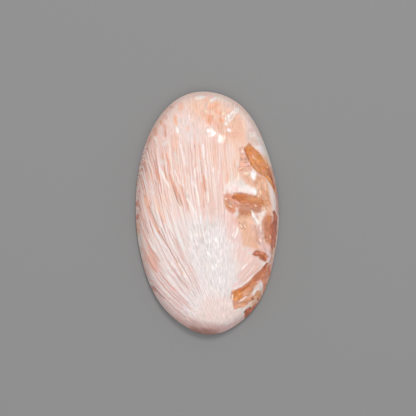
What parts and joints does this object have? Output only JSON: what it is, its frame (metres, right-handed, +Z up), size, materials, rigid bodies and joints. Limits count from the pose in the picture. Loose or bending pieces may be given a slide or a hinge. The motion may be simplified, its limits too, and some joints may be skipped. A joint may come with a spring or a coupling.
{
  "type": "scolecite cabochon",
  "caption": "Oval polished stone with a domed top, a low leaning wall and a flat back, for setting in a bezel or gluing to a pad.",
  "frame": {"origin": "middle of the flat back", "axes": "+Y along the stone, towards the end away from the needles' root; +X across it, towards the side with the orange crystals; +Z up through the dome"},
  "size_m": [0.0224, 0.038, 0.007],
  "materials": {
    "polished_scolecite": "polished, pinkish white needle sprays with orange-brown crystals"
  },
  "bodies": {
    "root": {"cabochon": "polished_scolecite"}
  },
  "joints": []
}
